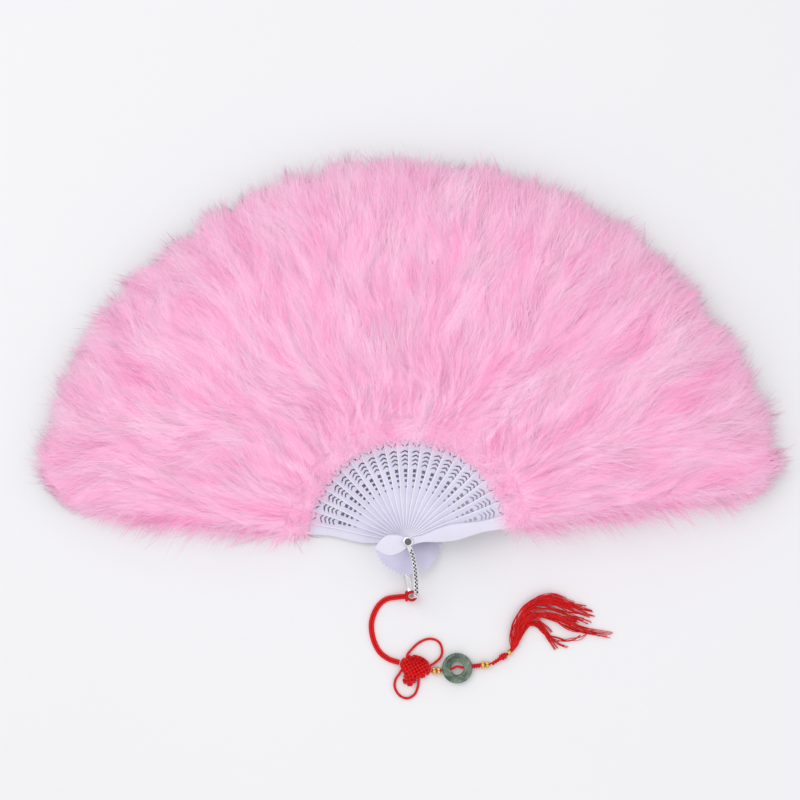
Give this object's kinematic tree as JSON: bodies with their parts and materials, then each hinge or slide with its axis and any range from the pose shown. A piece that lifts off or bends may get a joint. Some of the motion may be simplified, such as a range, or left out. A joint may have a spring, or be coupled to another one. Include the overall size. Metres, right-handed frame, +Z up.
{
  "type": "folding feather fan",
  "caption": "Folding hand fan with a down plume on each pierced plastic stick, a riveted pivot, a metal bail and a knotted cord tassel with a stone disc.",
  "frame": {"origin": "centre of the rear rivet cap's outer face, on the pivot axis, where the lying fan meets the table", "axes": "+Z up along the pivot out of the front face, +Y from the pivot to the middle plume of the open fan, +X towards the front guard"},
  "size_m": [0.4982, 0.359, 0.038],
  "materials": {
    "marabou_down": "soft matt down",
    "stick_plastic": "moulded, satin",
    "guard_plastic": "moulded, satin",
    "dark_steel": "darkened",
    "pink_ribbon": "satin",
    "silver_metal": "bright with a rope pattern",
    "red_silk": "silky twisted cord",
    "gold_metal": "bright gold tone",
    "jade_stone": "polished translucent stone"
  },
  "bodies": {
    "rear_guard_body": {"rear_guard": "guard_plastic", "rear_guard_plume": "marabou_down", "rear_rivet_cap": "dark_steel", "pivot_pin": "dark_steel", "front_rivet_cap": "dark_steel", "linking_ribbon": "pink_ribbon"},
    "stick_01_body": {"stick_01": "stick_plastic", "plume_01": "marabou_down"},
    "stick_02_body": {"stick_02": "stick_plastic", "plume_02": "marabou_down"},
    "stick_03_body": {"stick_03": "stick_plastic", "plume_03": "marabou_down"},
    "stick_04_body": {"stick_04": "stick_plastic", "plume_04": "marabou_down"},
    "stick_05_body": {"stick_05": "stick_plastic", "plume_05": "marabou_down"},
    "stick_06_body": {"stick_06": "stick_plastic", "plume_06": "marabou_down"},
    "stick_07_body": {"stick_07": "stick_plastic", "plume_07": "marabou_down"},
    "stick_08_body": {"stick_08": "stick_plastic", "plume_08": "marabou_down"},
    "stick_09_body": {"stick_09": "stick_plastic", "plume_09": "marabou_down"},
    "stick_10_body": {"stick_10": "stick_plastic", "plume_10": "marabou_down"},
    "stick_11_body": {"stick_11": "stick_plastic", "plume_11": "marabou_down"},
    "stick_12_body": {"stick_12": "stick_plastic", "plume_12": "marabou_down"},
    "stick_13_body": {"stick_13": "stick_plastic", "plume_13": "marabou_down"},
    "stick_14_body": {"stick_14": "stick_plastic", "plume_14": "marabou_down"},
    "stick_15_body": {"stick_15": "stick_plastic", "plume_15": "marabou_down"},
    "stick_16_body": {"stick_16": "stick_plastic", "plume_16": "marabou_down"},
    "stick_17_body": {"stick_17": "stick_plastic", "plume_17": "marabou_down"},
    "stick_18_body": {"stick_18": "stick_plastic", "plume_18": "marabou_down"},
    "stick_19_body": {"stick_19": "stick_plastic", "plume_19": "marabou_down"},
    "stick_20_body": {"stick_20": "stick_plastic", "plume_20": "marabou_down"},
    "stick_21_body": {"stick_21": "stick_plastic", "plume_21": "marabou_down"},
    "front_guard_body": {"front_guard": "guard_plastic", "front_guard_plume": "marabou_down"},
    "bail_body": {"bail": "silver_metal"},
    "tassel_body": {"red_cord": "red_silk", "tassel_knot": "red_silk", "tassel_cord": "red_silk", "upper_gold_bead": "gold_metal", "jade_disc": "jade_stone", "lower_gold_bead": "gold_metal", "cord_binding": "red_silk", "gold_ring": "gold_metal", "tassel_skirt": "red_silk"}
  },
  "joints": [
    {"name": "fan_fold", "type": "hinge", "parent": "rear_guard_body", "child": "front_guard_body", "pos_m": [0, 0, 0], "axis": [0, 0, 1], "range_deg": [0, 161], "deforming": ["front_guard_plume", "rear_guard_plume", "linking_ribbon"]},
    {"name": "stick_01_fold", "type": "hinge", "parent": "rear_guard_body", "child": "stick_01_body", "pos_m": [0, 0, 0], "axis": [0, 0, 1], "range_deg": [0, 7.33], "deforming": ["plume_01"]},
    {"name": "stick_02_fold", "type": "hinge", "parent": "rear_guard_body", "child": "stick_02_body", "pos_m": [0, 0, 0], "axis": [0, 0, 1], "range_deg": [0, 14.65], "deforming": ["plume_02"]},
    {"name": "stick_03_fold", "type": "hinge", "parent": "rear_guard_body", "child": "stick_03_body", "pos_m": [0, 0, 0], "axis": [0, 0, 1], "range_deg": [0, 21.96], "deforming": ["plume_03"]},
    {"name": "stick_04_fold", "type": "hinge", "parent": "rear_guard_body", "child": "stick_04_body", "pos_m": [0, 0, 0], "axis": [0, 0, 1], "range_deg": [0, 29.28], "deforming": ["plume_04"]},
    {"name": "stick_05_fold", "type": "hinge", "parent": "rear_guard_body", "child": "stick_05_body", "pos_m": [0, 0, 0], "axis": [0, 0, 1], "range_deg": [0, 36.6], "deforming": ["plume_05"]},
    {"name": "stick_06_fold", "type": "hinge", "parent": "rear_guard_body", "child": "stick_06_body", "pos_m": [0, 0, 0], "axis": [0, 0, 1], "range_deg": [0, 43.92], "deforming": ["plume_06"]},
    {"name": "stick_07_fold", "type": "hinge", "parent": "rear_guard_body", "child": "stick_07_body", "pos_m": [0, 0, 0], "axis": [0, 0, 1], "range_deg": [0, 51.24], "deforming": ["plume_07"]},
    {"name": "stick_08_fold", "type": "hinge", "parent": "rear_guard_body", "child": "stick_08_body", "pos_m": [0, 0, 0], "axis": [0, 0, 1], "range_deg": [0, 58.55], "deforming": ["plume_08"]},
    {"name": "stick_09_fold", "type": "hinge", "parent": "rear_guard_body", "child": "stick_09_body", "pos_m": [0, 0, 0], "axis": [0, 0, 1], "range_deg": [0, 65.87], "deforming": ["plume_09"]},
    {"name": "stick_10_fold", "type": "hinge", "parent": "rear_guard_body", "child": "stick_10_body", "pos_m": [0, 0, 0], "axis": [0, 0, 1], "range_deg": [0, 73.19], "deforming": ["plume_10"]},
    {"name": "stick_11_fold", "type": "hinge", "parent": "rear_guard_body", "child": "stick_11_body", "pos_m": [0, 0, 0], "axis": [0, 0, 1], "range_deg": [0, 80.51], "deforming": ["plume_11"]},
    {"name": "stick_12_fold", "type": "hinge", "parent": "rear_guard_body", "child": "stick_12_body", "pos_m": [0, 0, 0], "axis": [0, 0, 1], "range_deg": [0, 87.83], "deforming": ["plume_12"]},
    {"name": "stick_13_fold", "type": "hinge", "parent": "rear_guard_body", "child": "stick_13_body", "pos_m": [0, 0, 0], "axis": [0, 0, 1], "range_deg": [0, 95.15], "deforming": ["plume_13"]},
    {"name": "stick_14_fold", "type": "hinge", "parent": "rear_guard_body", "child": "stick_14_body", "pos_m": [0, 0, 0], "axis": [0, 0, 1], "range_deg": [0, 102.47], "deforming": ["plume_14"]},
    {"name": "stick_15_fold", "type": "hinge", "parent": "rear_guard_body", "child": "stick_15_body", "pos_m": [0, 0, 0], "axis": [0, 0, 1], "range_deg": [0, 109.78], "deforming": ["plume_15"]},
    {"name": "stick_16_fold", "type": "hinge", "parent": "rear_guard_body", "child": "stick_16_body", "pos_m": [0, 0, 0], "axis": [0, 0, 1], "range_deg": [0, 117.1], "deforming": ["plume_16"]},
    {"name": "stick_17_fold", "type": "hinge", "parent": "rear_guard_body", "child": "stick_17_body", "pos_m": [0, 0, 0], "axis": [0, 0, 1], "range_deg": [0, 124.42], "deforming": ["plume_17"]},
    {"name": "stick_18_fold", "type": "hinge", "parent": "rear_guard_body", "child": "stick_18_body", "pos_m": [0, 0, 0], "axis": [0, 0, 1], "range_deg": [0, 131.74], "deforming": ["plume_18"]},
    {"name": "stick_19_fold", "type": "hinge", "parent": "rear_guard_body", "child": "stick_19_body", "pos_m": [0, 0, 0], "axis": [0, 0, 1], "range_deg": [0, 139.06], "deforming": ["plume_19"]},
    {"name": "stick_20_fold", "type": "hinge", "parent": "rear_guard_body", "child": "stick_20_body", "pos_m": [0, 0, 0], "axis": [0, 0, 1], "range_deg": [0, 146.37], "deforming": ["plume_20"]},
    {"name": "stick_21_fold", "type": "hinge", "parent": "rear_guard_body", "child": "stick_21_body", "pos_m": [0, 0, 0], "axis": [0, 0, 1], "range_deg": [0, 153.69], "deforming": ["plume_21"]},
    {"name": "bail_swing", "type": "hinge", "parent": "rear_guard_body", "child": "bail_body", "pos_m": [0, 0, 0], "axis": [0, 0, 1], "range_deg": [-60, 60]},
    {"name": "tassel_trail", "type": "hinge", "parent": "bail_body", "child": "tassel_body", "pos_m": [0.00118, -0.03661, 0.0066], "axis": [0, 0, 1], "range_deg": [-60, 60], "deforming": ["red_cord"]}
  ],
  "couplings": [
    {"joint": "stick_01_fold", "follows": "fan_fold", "ratio": 0.045455},
    {"joint": "stick_02_fold", "follows": "fan_fold", "ratio": 0.090909},
    {"joint": "stick_03_fold", "follows": "fan_fold", "ratio": 0.13636},
    {"joint": "stick_04_fold", "follows": "fan_fold", "ratio": 0.18182},
    {"joint": "stick_05_fold", "follows": "fan_fold", "ratio": 0.22727},
    {"joint": "stick_06_fold", "follows": "fan_fold", "ratio": 0.27273},
    {"joint": "stick_07_fold", "follows": "fan_fold", "ratio": 0.31818},
    {"joint": "stick_08_fold", "follows": "fan_fold", "ratio": 0.36364},
    {"joint": "stick_09_fold", "follows": "fan_fold", "ratio": 0.40909},
    {"joint": "stick_10_fold", "follows": "fan_fold", "ratio": 0.45454},
    {"joint": "stick_11_fold", "follows": "fan_fold", "ratio": 0.5},
    {"joint": "stick_12_fold", "follows": "fan_fold", "ratio": 0.54546},
    {"joint": "stick_13_fold", "follows": "fan_fold", "ratio": 0.59091},
    {"joint": "stick_14_fold", "follows": "fan_fold", "ratio": 0.63636},
    {"joint": "stick_15_fold", "follows": "fan_fold", "ratio": 0.68182},
    {"joint": "stick_16_fold", "follows": "fan_fold", "ratio": 0.72727},
    {"joint": "stick_17_fold", "follows": "fan_fold", "ratio": 0.77273},
    {"joint": "stick_18_fold", "follows": "fan_fold", "ratio": 0.81818},
    {"joint": "stick_19_fold", "follows": "fan_fold", "ratio": 0.86364},
    {"joint": "stick_20_fold", "follows": "fan_fold", "ratio": 0.90909},
    {"joint": "stick_21_fold", "follows": "fan_fold", "ratio": 0.95454},
    {"joint": "tassel_trail", "follows": "bail_swing", "ratio": -1}
  ]
}
